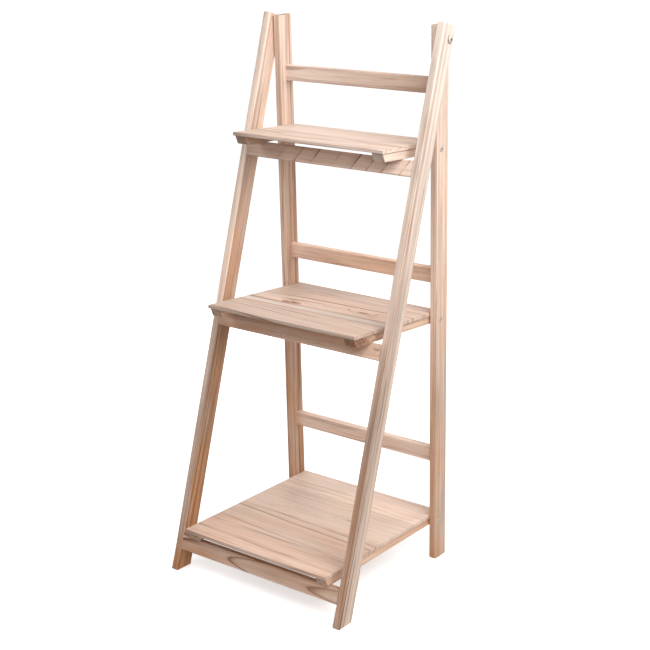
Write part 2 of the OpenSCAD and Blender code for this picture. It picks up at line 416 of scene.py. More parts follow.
class Shading:
    """Adds and joins nodes in one node tree."""

    def __init__(self, tree: bpy.types.NodeTree) -> None:
        """Starts on a tree.

        Args:
            tree: The material's or the group's node tree.
        """
        self.tree = tree

    @classmethod
    def on(cls, owner: bpy.types.Material | bpy.types.World) -> "Shading":
        """Starts on the emptied node tree of a material or a world."""
        owner.use_nodes = True
        owner.node_tree.nodes.clear()
        return cls(owner.node_tree)

    def node(self, kind: str, settings: dict | None = None, **inputs) -> bpy.types.Node:
        """Adds a node.

        Args:
            kind: The node's type without the ShaderNode prefix.
            settings: The node's own properties.
            inputs: Values or sockets, by input name with _ for a space.

        Returns:
            The new node.
        """
        node = self.tree.nodes.new("ShaderNode" + kind)
        for name, value in (settings or {}).items():
            setattr(node, name, value)
        for name, value in inputs.items():
            self.feed(node.inputs[name.replace("_", " ")], value)
        return node

    def feed(self, socket: bpy.types.NodeSocket, value) -> None:
        """Sets an input to a value, or links it to a signal or a socket."""
        if isinstance(value, Signal):
            value = value.socket
        if isinstance(value, bpy.types.NodeSocket):
            self.tree.links.new(value, socket)
        elif isinstance(socket.default_value, float):
            socket.default_value = value
        else:
            wide = len(socket.default_value) > len(value)
            socket.default_value = (*value, 1.0) if wide else value

    def math(self, operation: str, first, second=0.0) -> Signal:
        """Returns the result of a Math node."""
        node = self.node("Math", {"operation": operation})
        self.feed(node.inputs[0], first)
        self.feed(node.inputs[1], second)
        return Signal(self, node.outputs[0])

    def vector(self, operation: str, first, second=(0.0, 0.0, 0.0)) -> bpy.types.Node:
        """Returns a Vector Math node on two inputs."""
        node = self.node("VectorMath", {"operation": operation})
        self.feed(node.inputs[0], first)
        self.feed(node.inputs[1], second)
        return node

    def scaled(self, point, x: float, y: float, z: float) -> bpy.types.NodeSocket:
        """Returns a point with each coordinate multiplied."""
        return self.vector("MULTIPLY", point, (x, y, z)).outputs[0]

    def length(self, point) -> Signal:
        """Returns a vector's length."""
        return Signal(self, self.vector("LENGTH", point).outputs["Value"])

    def noise(self, point, seed, detail: float = 2.0, rough: float = 0.5) -> Signal:
        """Returns a noise of unit size about a point."""
        node = self.node(
            "TexNoise", {"noise_dimensions": "4D"}, Vector=point, W=seed, Scale=1.0,
            Detail=detail, Roughness=rough,
        )
        return Signal(self, node.outputs["Fac"])

    def spread(self, value, low, high, to_low=0.0, to_high=1.0) -> Signal:
        """Returns a value moved smoothly from one range to another."""
        node = self.node("MapRange", {"interpolation_type": "SMOOTHSTEP"}, Value=value)
        for name, number in (
            ("From Min", low), ("From Max", high), ("To Min", to_low), ("To Max", to_high)
        ):
            self.feed(node.inputs[name], number)
        return Signal(self, node.outputs[0])

    def between(self, share, low, high) -> Signal:
        """Returns the number at a share of the way between two others."""
        node = self.node("Mix", {"data_type": "FLOAT", "clamp_factor": True})
        for socket, value in zip(node.inputs, (share, None, low, high)):
            if value is not None:
                self.feed(socket, value)
        return Signal(self, node.outputs[0])

    def mix(self, share, first, second, blend: str = "MIX") -> bpy.types.NodeSocket:
        """Returns two colours mixed."""
        node = self.node("Mix", {"data_type": "RGBA", "blend_type": blend})
        self.feed(node.inputs[0], share)
        self.feed(node.inputs[6], first)
        self.feed(node.inputs[7], second)
        return node.outputs[2]

    def grey(self, value) -> bpy.types.NodeSocket:
        """Returns a grey of a given brightness."""
        return self.node("CombineColor", Red=value, Green=value, Blue=value).outputs[0]

    def openness(self, reach: float, samples: int) -> bpy.types.NodeSocket:
        """Returns the share of light that nothing within a reach blocks."""
        return self.node("AmbientOcclusion", {"samples": samples}, Distance=reach).outputs["AO"]

    def seen(self) -> Signal:
        """Returns 1 on camera, glossy and transmission rays, and 0 on others."""
        paths = self.node("LightPath").outputs
        seen = paths["Is Camera Ray"]
        for name in ("Is Glossy Ray", "Is Transmission Ray"):
            seen = self.math("MAXIMUM", seen, paths[name])
        return seen


@dataclass(frozen=True)
class Layer:
    """A layer of noise in the wood.

    Attributes:
        along: Repeats per metre along the grain.
        across: Repeats per metre across it.
        shift: Added to the piece's own number, so that layers differ.
        detail: How many finer noises it holds.
        rough: How strong those are.
    """

    along: float
    across: float
    shift: float
    detail: float
    rough: float = 0.5


FIBRE = Layer(7, 420, 0.0, 3.0, 0.62)
FINE = Layer(20, 1300, 9.0, 1.0)
STREAK = Layer(4.0, 135, 4.0, 2.0, 0.55)
BROAD = Layer(6.0, 26, 7.0, 2.0)
FLECK = Layer(38, 760, 2.0, 1.0, 0.4)
DASH = Layer(13, 330, 5.0, 1.5)
BREAKS = Layer(9.0, 42, 11.0, 1.0)


class Timber:
    """Makes the solid wood materials, all from one node group."""

    GROUP = "sawn_wood"
    LATE_MM, LATE_SHARE = 4.4, 0.42
    SAP_EDGE = 0.0015
    FINE_SHARE = 0.16
    COOL = (1.0, 0.93, 0.86)
    BUMP_MM, BUMP_SHARE, GLOSS = 0.35, 0.35, 0.18
    KNOTS = ("Knot A", "Knot B")
    # Stretches of painted shade, such as under the shelves.
    STAINS = ("Stain A", "Stain B")
    PAIRS = ("Tone", "Warmth", "Bleach")
    SHARES = ("Fibre", "Streak", "Dash", "Fleck", "Blotch")
    TONES = ("End", "Edge", "Arris")
    VECTORS = ("Grain", "Rings", "Axis", "Across", "Square", *KNOTS)
    COLOURS = ("Early", "Late", "Heart", "Pale")
    NUMBERS = (
        "Seed", "Length", "Ring Width", "Late Width", "Ring Share", "Ring Fade", "Wave",
        "Sapwood From", "Sapwood To", "Sapwood Share", "Line", "Line Share", "Line Reach", *STAINS,
    )
    SETS = (
        (PAIRS, ("Low", "High")), (SHARES, ("Share",)), (TONES, ("Tone",)),
        (KNOTS, ("Size", "Heart")), (STAINS, ("Reach", "Share")),
    )

    def __init__(self) -> None:
        """Builds the shared node group."""
        self.group = bpy.data.node_groups.new(self.GROUP, "ShaderNodeTree")
        face = self.group.interface
        numbers = list(self.NUMBERS)
        for firsts, lasts in self.SETS:
            numbers += [f"{first} {last}" for first in firsts for last in lasts]
        for names, kind in ((self.VECTORS, "Vector"), (self.COLOURS, "Color"), (numbers, "Float")):
            for name in names:
                face.new_socket(name, in_out="INPUT", socket_type="NodeSocket" + kind)
        for name, kind in (("Color", "Color"), ("Roughness", "Float"), ("Height", "Float")):
            face.new_socket(name, in_out="OUTPUT", socket_type="NodeSocket" + kind)
        self.make = Shading(self.group)
        self.given = self.group.nodes.new("NodeGroupInput").outputs
        self.build_group()

    def number(self, name: str) -> Signal:
        """Returns one of the group's inputs as a signal."""
        return Signal(self.make, self.given[name])

    def build_group(self) -> None:
        """Builds the pattern of rings, fibres, flecks and knots, and the painted light and shade.
        """
        make, seed = self.make, self.number("Seed")
        grain, rings = self.wandering(seed)
        knots = [self.knot(name) for name in self.KNOTS]
        ring = self.ring_line(rings, seed, knots)
        fibre, fine, streak, broad, fleck, dash, breaks = (
            self.layer(grain, layer) for layer in (FIBRE, FINE, STREAK, BROAD, FLECK, DASH, BREAKS)
        )
        fleck = make.spread(fleck, 0.61, 0.74)
        dash = make.spread(dash, 0.56, 0.70) * make.spread(broad, 0.3, 0.6, 0.5, 1.0)

        spot = Signal(make, make.node("SeparateXYZ", Vector=self.given["Grain"]).outputs[0])
        along = spot / self.number("Length") + 0.5
        side = Signal(make, make.node("SeparateXYZ", Vector=grain).outputs[1])
        tone, warmth, bleach = (
            make.between(along, self.number(name + " Low"), self.number(name + " High"))
            for name in self.PAIRS
        )
        inside, past = (
            make.spread(side, border - self.SAP_EDGE, border + self.SAP_EDGE)
            for border in (self.number("Sapwood From"), self.number("Sapwood To"))
        )
        sap = inside - past
        warmth = warmth * make.spread(broad, 0.32, 0.68, 0.3, 1.7) * (1.0 - sap * 0.85)
        bleach = bleach * make.spread(streak, 0.3, 0.7, 1.4, 0.6)
        bleach = bleach.most(sap * self.number("Sapwood Share"))
        apart = make.math("ABSOLUTE", side - self.number("Line"))
        reach = self.number("Line Reach")
        line = make.spread(apart, reach * 0.2, reach, 1.0, 0.0) * make.spread(fibre, 0.3, 0.6)

        body = make.mix(warmth, self.given["Early"], self.given["Heart"])
        body = make.mix(bleach, body, self.given["Pale"])
        ring = ring * make.spread(breaks, 0.34, 0.6, 0.25, 1.15) * self.number("Ring Share")
        ring = ring * make.between(along, 1.0, self.number("Ring Fade"))
        for mark in (ring, line * self.number("Line Share"), dash * self.number("Dash Share")):
            body = make.mix(mark, body, self.given["Late"])
        shade = (
            (fibre - 0.5) * self.number("Fibre Share")
            + (fine - 0.5) * self.FINE_SHARE
            + (streak - 0.5) * self.number("Streak Share")
            + (broad - 0.5) * self.number("Blotch Share")
            + 1.0
        )
        shade = shade * (1.0 - fleck * self.number("Fleck Share") * 0.4)
        # Painted shade: stretches along the piece made darker, patchily, where less light reaches.
        patchy = make.spread(broad, 0.25, 0.7, 1.3, 0.7)
        for name in self.STAINS:
            past = make.math("ABSOLUTE", spot - self.number(name))
            past = past / self.number(name + " Reach").most(0.001)
            painted_shade = make.spread(past, 0.0, 1.0, 1.0, 0.0) * self.number(name + " Share")
            shade = shade * (1.0 - painted_shade * patchy)
        # Tones by facing: end grain is darker of itself; these tones also paint light and shade,
        # on the battens' ends, the planks' edges, the slats' tops and the legs' roundings.
        end, edge, wide = (self.facing(axis) for axis in ("Axis", "Across", "Square"))
        shade = shade * (1.0 - dash * end * 0.45) * tone
        for face, name in ((end, "End Tone"), (edge, "Edge Tone")):
            shade = shade * (1.0 - face * (1.0 - self.number(name)))
        arris = make.spread(end.most(edge).most(wide), 0.75, 0.99, 1.0, 0.0)
        shade = shade * (1.0 - arris * (1.0 - self.number("Arris Tone")))
        warm = make.spread(streak, 0.25, 0.6, 0.0, 1.0)
        tint = make.mix(warm, self.COOL, (1.0, 1.0, 1.0))
        colour = make.mix(1.0, body, make.grey(shade), "MULTIPLY")
        colour = make.mix(1.0, colour, tint, "MULTIPLY")
        for (_, core), name in zip(knots, self.KNOTS):
            colour = make.mix(core * self.number(name + " Heart"), colour, KNOT_HEART)

        rough = make.spread(fibre, 0.3, 0.7, 0.62, 0.78) - ring * 0.08
        height = fibre * 0.5 - ring * 0.35 - fleck * 0.5
        out = self.group.nodes.new("NodeGroupOutput")
        for name, value in (("Color", colour), ("Roughness", rough), ("Height", height)):
            make.feed(out.inputs[name], value)

    def layer(self, grain, layer: Layer) -> Signal:
        """Returns a layer of noise that follows the bent grain."""
        point = self.make.scaled(grain, layer.along, layer.across, layer.across)
        return self.make.noise(point, self.number("Seed") + layer.shift, layer.detail, layer.rough)

    def facing(self, axis: str) -> Signal:
        """Returns how squarely a face looks along one of the piece's axes."""
        normal = self.make.node("TexCoord").outputs["Normal"]
        dot = self.make.vector("DOT_PRODUCT", normal, self.given[axis]).outputs["Value"]
        return self.make.math("POWER", self.make.math("ABSOLUTE", dot), 3.0)

    def wandering(self, seed: Signal) -> tuple:
        """Makes the wood's axes wander a little.

        Args:
            seed: The piece's own number.

        Returns:
            The fibres' and the rings' coordinates, bent.
        """
        make = self.make
        cloud = make.node(
            "TexNoise", {"noise_dimensions": "4D"}, W=seed, Scale=1.0, Detail=2.0,
            Roughness=0.45, Vector=make.scaled(self.given["Grain"], 5.0, 12, 12),
        )
        centred = make.vector("SUBTRACT", cloud.outputs["Color"], (0.5, 0.5, 0.5)).outputs[0]
        wave = self.number("Wave")
        little = make.node("CombineXYZ", X=0.0, Y=wave * 0.5, Z=wave * 0.5).outputs[0]
        much = make.node("CombineXYZ", X=0.0, Y=wave, Z=wave).outputs[0]
        bent = []
        for name, reach in (("Grain", little), ("Rings", much)):
            offset = make.vector("MULTIPLY", centred, reach).outputs[0]
            bent.append(make.vector("ADD", self.given[name], offset).outputs[0])
        return tuple(bent)

    def knot(self, name: str) -> tuple[Signal, Signal]:
        """Adds one knot's bump and core.

        Args:
            name: The knot's name among the inputs.

        Returns:
            The bump that bends the rings, in metres, and the dark core's mask.
        """
        make, size = self.make, self.number(name + " Size")
        away = make.vector("SUBTRACT", self.given["Grain"], self.given[name]).outputs[0]
        rag = make.noise(make.scaled(self.given["Grain"], 160, 260, 260), 1.0) - 0.5
        share = make.length(make.scaled(away, 0.32, 1.0, 0.25)) / size.most(0.0001)
        bump = make.spread(share, 0.0, 1.0, 1.1, 0.0) * size
        core = make.spread(share + rag * 0.35, 0.06, 0.36, 1.0, 0.0)
        return bump, core

    def ring_line(self, rings, seed: Signal, knots: list) -> Signal:
        """Adds the dark lines of the growth rings.

        Args:
            rings: The bent coordinates, from the pith.
            seed: The piece's own number.
            knots: Each knot's bump and core.

        Returns:
            The lines' mask.
        """
        make = self.make
        radius = make.length(make.scaled(rings, 0.0, 1.0, 1.0))
        for bump, _ in knots:
            radius = radius + bump
        phase = radius / self.number("Ring Width")
        uneven = make.node(
            "TexNoise", {"noise_dimensions": "1D"}, W=phase + seed, Scale=0.6, Detail=1.0
        )
        phase = phase + Signal(make, uneven.outputs["Fac"]) * 1.2
        share = make.math("FRACT", phase)
        wide = make.spread(share, 0.25, 0.95)
        inside, late = (1.0 - share) * self.number("Ring Width"), self.number("Late Width")
        thin = make.spread(inside, late * 0.3, late, 1.0, 0.0)
        thin = thin * make.spread(inside, 0.0, late * 0.3)
        line = wide * 0.2 + thin * 0.8
        count = make.math("FLOOR", phase)
        each = make.node("TexWhiteNoise", {"noise_dimensions": "1D"}, W=count + seed)
        return line * make.spread(each.outputs["Value"], 0.1, 0.9, 0.15, 1.0)

    def material(self, name: str, finish: WoodFinish, cut: Cut, lie: Lie) -> bpy.types.Material:
        """Makes one piece's wood.

        Args:
            name: The material's name.
            finish: The wood's colours and grain.
            cut: How the piece lay in its log.
            lie: How the piece lies in the stand.

        Returns:
            The material.
        """
        fibres = lie.axes @ Euler((0, 0, math.radians(cut.runout_deg))).to_matrix()
        lean = Euler((0, math.radians(cut.dive_deg), math.radians(cut.slash_deg)))
        rings = lie.axes @ lean.to_matrix()
        aside = Vector((0, mm(cut.pith_across_mm), mm(cut.pith_depth_mm)))
        pith = lie.middle + lie.axes @ aside

        material = bpy.data.materials.new(name)
        make = Shading.on(material)
        here = make.node("TexCoord").outputs["Object"]
        group = make.tree.nodes.new("ShaderNodeGroup")
        group.node_tree = self.group
        values = {
            "Seed": cut.seed, "Length": lie.length, "Wave": mm(finish.wave_mm),
            "Ring Width": mm(cut.ring_mm), "Ring Share": cut.ring_share,
            "Late Width": mm(min(self.LATE_MM, self.LATE_SHARE * cut.ring_mm)),
            "Ring Fade": cut.ring_fade, "Sapwood From": mm(cut.sapwood_mm[0]),
            "Sapwood To": mm(cut.sapwood_mm[1]), "Sapwood Share": cut.sapwood_share,
            "Line": mm(cut.line_mm), "Line Share": cut.line_share,
            "Line Reach": mm(cut.line_reach_mm),
        }
        for key, axis in zip(("Axis", "Across", "Square"), lie.axes.col):
            values[key] = tuple(axis)
        for key in self.COLOURS:
            values[key] = getattr(finish, key.lower())
        for key in self.SHARES:
            values[key + " Share"] = getattr(finish, key.lower() + "_share")
        for key in self.TONES:
            values[key + " Tone"] = getattr(finish, key.lower() + "_tone")
        for key in self.PAIRS:
            values[key + " Low"], values[key + " High"] = getattr(cut, key.lower())
        for key, place, turned in (("Grain", lie.middle, fibres), ("Rings", pith, rings)):
            mapping = make.node("Mapping", {"vector_type": "TEXTURE"}, Vector=here)
            mapping.inputs["Location"].default_value = place
            mapping.inputs["Rotation"].default_value = turned.to_euler("XYZ")
            values[key] = mapping.outputs[0]
        for knot, key in zip(cut.knots, self.KNOTS):
            values[key] = (mm(knot.along_mm), mm(knot.across_mm), 0.0)
            values[key + " Size"] = mm(knot.size_mm)
            values[key + " Heart"] = knot.heart
        for painted_shade, key in zip(cut.stains, self.STAINS):
            values[key] = mm(painted_shade.along_mm)
            values[key + " Reach"] = mm(painted_shade.reach_mm)
            values[key + " Share"] = painted_shade.share
        for key, value in values.items():
            make.feed(group.inputs[key], value)
        bump = make.node(
            "Bump", Strength=self.BUMP_SHARE, Distance=mm(self.BUMP_MM),
            Height=group.outputs["Height"],
        ).outputs[0]
        shader = make.node(
            "BsdfPrincipled", Base_Color=group.outputs["Color"],
            Roughness=group.outputs["Roughness"], Normal=bump, Specular_IOR_Level=self.GLOSS,
        )
        make.node("OutputMaterial", Surface=shader.outputs[0])
        return material


def metal_material(finish: MetalFinish) -> bpy.types.Material:
    """Makes a turned metal with fine scratches, and painted shade in its hollows and next to the
    wood.

    Args:
        finish: The metal's colour and roughness.

    Returns:
        The material.
    """
    material = bpy.data.materials.new(finish.slot)
    make = Shading.on(material)
    here = make.node("TexCoord").outputs["Object"]
    cloud = make.noise(make.scaled(here, 900, 900, 900), 0.0, 3.0)
    scratch = make.noise(make.scaled(here, 400, 5200, 5200), 3.0, 2.0)
    low, high = finish.roughness - finish.spread, finish.roughness + finish.spread
    # Painted shade: the metal made darker in its socket, its recess and next to the wood, and a
    # little lighter in the open.
    painted_hollow_shade = make.spread(make.openness(mm(4.0), 8), 0.55, 0.97, 0.35, 1.1)
    dull_and_hollow_shade = make.grey(make.spread(cloud, 0.35, 0.8, 1.0, 0.82) * painted_hollow_shade)
    colour = make.mix(1.0, finish.colour, dull_and_hollow_shade, "MULTIPLY")
    bump = make.node("Bump", Strength=0.15, Distance=mm(0.05), Height=scratch).outputs[0]
    shader = make.node(
        "BsdfPrincipled", Base_Color=colour, Roughness=make.spread(cloud, 0.3, 0.7, low, high),
        Normal=bump, Metallic=1.0,
    )
    make.node("OutputMaterial", Surface=shader.outputs[0])
    return material


# ---------------------------------------------------------------------------
# Shapes
# ---------------------------------------------------------------------------


CORNER_RAD = 1.0  # Faces that meet at more than this make a corner
SHARP_RAD = 0.9  # Faces that meet at more than this make a sharp edge
ALONG = 0.999  # Share of an edge's run that lies along the axis it follows
FLAT = 0.9995  # Share of a flat face's normal that lies along one axis
CUT_SLACK = 1e-7
RECESS_SIDES = 28


@dataclass(frozen=True)
class Workshop:
    """What every sub-assembly needs to dress its pieces.

    Attributes:
        timber: The wood materials.
        steel: The steel of bolts and screws.
        brass: The brass of the inserts.
    """

    timber: Timber
    steel: bpy.types.Material
    brass: bpy.types.Material


def finish_piece(
    bm: bmesh.types.BMesh, node: str, body: str, material: bpy.types.Material
) -> None:
    """Turns a bmesh into the piece that stands for a frame node.

    Args:
        bm: The finished shape, in the stand's axes. It is freed.
        node: The frame node.
        body: The body it moves with.
        material: Its material.
    """
    bmesh.ops.recalc_face_normals(bm, faces=bm.faces)
    mesh = bpy.data.meshes.new(node + "_piece")
    bm.to_mesh(mesh)
    bm.free()
    mesh.materials.append(material)
    piece = bpy.data.objects.new(node + "_piece", mesh)
    bpy.context.scene.collection.objects.link(piece)
    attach(piece, body)
    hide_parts(node)
    LOG.info("%s: %d faces on %s", piece.name, len(mesh.polygons), body)


def block(low: Vector, high: Vector) -> bmesh.types.BMesh:
    """Makes a plain block between two corners.

    Args:
        low: The lowest corner.
        high: The highest corner.

    Returns:
        The block.
    """
    bm = bmesh.new()
    bmesh.ops.create_cube(bm, size=1.0)
    bmesh.ops.scale(bm, vec=high - low, verts=bm.verts)
    bmesh.ops.translate(bm, vec=(low + high) / 2, verts=bm.verts)
    return bm


def soften(
    bm: bmesh.types.BMesh, edges: list[bmesh.types.BMEdge], radius_mm: float, segments: int = 3
) -> None:
    """Rounds some edges of a shape.

    Args:
        bm: The shape.
        edges: The edges to round.
        radius_mm: The rounding's radius.
        segments: Facets across the rounding.
    """
    bmesh.ops.bevel(
        bm, geom=edges, offset=mm(radius_mm), segments=segments, profile=0.5,
        affect="EDGES", material=-1,
    )


def edges_along(bm: bmesh.types.BMesh, axis: int) -> list[bmesh.types.BMEdge]:
    """Returns the sharp edges that run along an axis, 0 to 2."""
    found = []
    for edge in bm.edges:
        run = (edge.verts[1].co - edge.verts[0].co).normalized()
        if abs(run[axis]) > ALONG and edge.calc_face_angle(0.0) > CORNER_RAD:
            found.append(edge)
    return found


def edges_across(bm: bmesh.types.BMesh, axis: int) -> list[bmesh.types.BMEdge]:
    """Returns the sharp edges that lie square to an axis, 0 to 2."""
    return [e for e in sharp_edges(bm) if abs(e.verts[0].co[axis] - e.verts[1].co[axis]) < SAME]


def sharp_edges(bm: bmesh.types.BMesh) -> list[bmesh.types.BMEdge]:
    """Returns the edges that are sharp enough to soften."""
    return [edge for edge in bm.edges if edge.calc_face_angle(0.0) > SHARP_RAD]


def smooth_roundings(bm: bmesh.types.BMesh) -> None:
    """Shades roundings smooth, and leaves flat faces and sharp edges as they are."""
    for face in bm.faces:
        face.smooth = max(abs(c) for c in face.normal) < FLAT
    for edge in bm.edges:
        edge.smooth = edge.calc_face_angle(0.0) < CORNER_RAD


def drill(
    bm: bmesh.types.BMesh, outward: Vector, places: list[Vector], mouth_mm: float,
    floor_mm: float, depth_mm: float,
) -> None:
    """Sinks round recesses into a flat face.

    Args:
        bm: The shape, still straight in its own axes.
        outward: The face's outward direction, along one axis.
        places: The recesses' middles, on the face.
        mouth_mm: Radius at the face.
        floor_mm: Radius at the floor.
        depth_mm: Depth of the floor.
    """
    face = max(bm.faces, key=lambda f: f.normal.dot(outward) * f.calc_area())
    rim = list(face.edges)
    bmesh.ops.delete(bm, geom=[face], context="FACES_ONLY")
    turn = outward.to_track_quat("Z", "Y").to_matrix().to_4x4()
    circles = []
    for place in places:
        made = bmesh.ops.create_circle(
            bm, segments=RECESS_SIDES, radius=mm(mouth_mm),
            matrix=Matrix.Translation(place) @ turn,
        )
        circles.append((place, list({e for v in made["verts"] for e in v.link_edges})))
    edges = rim + [edge for _, circle in circles for edge in circle]
    bmesh.ops.triangle_fill(bm, use_beauty=True, edges=edges, normal=outward)
    for place, circle in circles:
        made = bmesh.ops.extrude_edge_only(bm, edges=circle)
        verts = [g for g in made["geom"] if isinstance(g, bmesh.types.BMVert)]
        about = Matrix.Translation(-place)
        bmesh.ops.scale(bm, vec=Vector.Fill(3, floor_mm / mouth_mm), space=about, verts=verts)
        bmesh.ops.translate(bm, vec=-outward * mm(depth_mm), verts=verts)
        inner = [e for e in {e for v in verts for e in v.link_edges} if e.is_boundary]
        bmesh.ops.edgeloop_fill(bm, edges=inner)


def saw_level(bm: bmesh.types.BMesh, height: float) -> None:
    """Saws a shape level and keeps what is above.

    Args:
        bm: The shape, in the stand's axes.
        height: Height of the cut.
    """
    bmesh.ops.bisect_plane(
        bm, geom=bm.verts[:] + bm.edges[:] + bm.faces[:], dist=CUT_SLACK,
        plane_co=(0, 0, height), plane_no=(0, 0, 1), clear_inner=True,
    )
    bmesh.ops.edgeloop_fill(bm, edges=[edge for edge in bm.edges if edge.is_boundary])


class Turning:
    """A turned piece, drawn out ring by ring along its own Z axis."""

    SIDES = 36
    CREASE_RAD = 0.6

    def __init__(
        self, bm: bmesh.types.BMesh, radius_mm: float, height_mm: float, closed: bool = True
    ) -> None:
        """Starts with a round end.

        Args:
            bm: The shape that the piece is added to.
            radius_mm: Radius of the end.
            height_mm: Its height.
            closed: Whether the end is a face, or the rim of a bore.
        """
        self.bm = bm
        made = bmesh.ops.create_circle(
            bm, segments=self.SIDES, radius=mm(radius_mm), cap_ends=closed,
            matrix=Matrix.Translation((0, 0, mm(height_mm))),
        )
        self.verts = list(made["verts"])
        self.edges = list({e for v in self.verts for e in v.link_edges})
        self.start = self.edges

    def ring(self, radius_mm: float, height_mm: float, outline=lambda angle: 1.0) -> "Turning":
        """Draws the open end out to a new ring.

        Args:
            radius_mm: The ring's radius.
            height_mm: Its height.
            outline: Share of that radius at an angle.

        Returns:
            The same turning.
        """
        made = bmesh.ops.extrude_edge_only(self.bm, edges=self.edges)
        verts = [g for g in made["geom"] if isinstance(g, bmesh.types.BMVert)]
        for vert in verts:
            angle = math.atan2(vert.co.y, vert.co.x)
            reach = mm(radius_mm) * outline(angle)
            vert.co = (reach * math.cos(angle), reach * math.sin(angle), mm(height_mm))
        fresh = set(verts)
        around = {edge for vert in verts for edge in vert.link_edges}
        self.edges = [edge for edge in around if fresh.issuperset(edge.verts)]
        self.verts += verts
        return self

    def close(self, place: Matrix, bored: bool = False) -> None:
        """Closes the turning and moves it to its place.

        Args:
            place: The move from the turning's own axes.
            bored: Whether a bore runs back to the start.
        """
        if bored:
            bmesh.ops.bridge_loops(self.bm, edges=self.start + self.edges)
        else:
            bmesh.ops.edgeloop_fill(self.bm, edges=self.edges)
        for face in {face for vert in self.verts for face in vert.link_faces}:
            face.smooth = len(face.verts) < self.SIDES
        for edge in {edge for vert in self.verts for edge in vert.link_edges}:
            edge.smooth = edge.calc_face_angle(0.0) < self.CREASE_RAD
        bmesh.ops.transform(self.bm, matrix=place, verts=self.verts)


def hexagon(angle: float) -> float:
    """Returns a hexagon's reach at an angle, its flats at 1."""
    return 1 / math.cos((angle + math.pi / 6) % (math.pi / 3) - math.pi / 6)


def cross(angle: float) -> float:
    """Returns a cross recess's reach at an angle, its arms at 1."""
    waist, arm = 0.42, 0.58
    return waist + arm * abs(math.cos(2 * angle)) ** 3


@dataclass(frozen=True)
class Bolt:
    """A bolt with a domed head and a hexagon socket.

    Attributes:
        shank_mm: Diameter of the shank.
        head_mm: Diameter of the head.
        rise_mm: Height of the head.
        key_mm: Width across the socket's flats.
        rim_share: Height of the head's straight rim, of the whole.
        socket_share: Depth of the socket, of the head's height.
    """

    shank_mm: float
    head_mm: float
    rise_mm: float
    key_mm: float
    rim_share: float = 1 / 3
    socket_share: float = 0.55

    TIP_MM, TIP_LENGTH_MM, RIM_MM = 0.4, 0.5, 0.15
    DOME_SHARES = (0.96, 0.9, 0.8, 0.68, 0.56)
    LIP_SHARE, LIP_MM, LIP_DEPTH_MM = 1.2, 0.25, 0.2

    def dome(self, radius: float) -> float:
        """Returns the dome's height above the head's underside at a radius."""
        head, rise = self.head_mm / 2, self.rise_mm * (1 - self.rim_share)
        ball = (head * head + rise * rise) / (2 * rise)
        return self.rise_mm - ball + math.sqrt(ball * ball - radius * radius)

    def add(self, bm: bmesh.types.BMesh, low: Vector, high: Vector) -> None:
        """Adds one bolt that lies along X, its head on the outer side.

        Args:
            bm: The shape that it is added to.
            low: The lowest corner of its solid in the frame.
            high: The highest corner of that solid.
        """
        shank, head, key = self.shank_mm / 2, self.head_mm / 2, self.key_mm / 2
        side = math.copysign(1, low.x + high.x)
        seat = max(-low.x, high.x) - mm(self.dome(key))
        length = (seat - min(abs(low.x), abs(high.x))) / MM
        middle = (low + high) / 2
        turn = Vector((side, 0, 0)).to_track_quat("Z", "Y").to_matrix().to_4x4()
        turning = Turning(bm, shank - self.TIP_MM, -length)
        turning.ring(shank, self.TIP_LENGTH_MM - length).ring(shank, 0.0)
        turning.ring(head - self.RIM_MM, 0.0).ring(head, self.RIM_MM)
        turning.ring(head, self.rise_mm * self.rim_share)
        for share in self.DOME_SHARES:
            turning.ring(head * share, self.dome(head * share))
        top = self.dome(key * self.LIP_SHARE)
        turning.ring(key + self.LIP_MM, top, hexagon).ring(key, top - self.LIP_DEPTH_MM, hexagon)
        turning.ring(key, self.rise_mm * (1 - self.socket_share), hexagon)
        turning.close(Matrix.Translation((side * seat, middle.y, middle.z)) @ turn)


@dataclass(frozen=True)
class Screw:
    """A countersunk wood screw with a cross recess.

    Attributes:
        shank_mm: Diameter of the shank.
        head_mm: Diameter of the head.
        recess_mm: Reach of the recess's arms.
        recess_depth_mm: Depth of the recess.
        point_mm: Length of the point.
    """

    shank_mm: float = 3.5
    head_mm: float = 7.0
    recess_mm: float = 2.1
    recess_depth_mm: float = 1.5
    point_mm: float = 4.0

    TIP_MM, EDGE_MM, RECESS_TAPER, TURN_PER_M = 0.2, 0.1, 0.6, 40

    @property
    def sink_mm(self) -> float:
        """Depth of the countersink."""
        return (self.head_mm - self.shank_mm) / 2

    def add(self, bm: bmesh.types.BMesh, low: Vector, high: Vector) -> None:
        """Adds one screw that points up, its head below.

        Args:
            bm: The shape that it is added to.
            low: The lowest corner of its solid in the frame.
            high: The highest corner of that solid.
        """
        shank, head, length = self.shank_mm / 2, self.head_mm / 2, (high.z - low.z) / MM
        middle = (low + high) / 2
        turning = Turning(bm, self.TIP_MM, -length).ring(shank, self.point_mm - length)
        turning.ring(shank, -self.sink_mm).ring(head, -self.EDGE_MM).ring(head - self.EDGE_MM, 0.0)
        turning.ring(self.recess_mm, 0.0, cross)
        turning.ring(self.recess_mm * self.RECESS_TAPER, -self.recess_depth_mm, cross)
        spin = Matrix.Rotation(middle.y * self.TURN_PER_M, 4, "Z")
        turn = Matrix.Rotation(math.pi, 4, "X") @ spin
        turning.close(Matrix.Translation((middle.x, middle.y, low.z)) @ turn)


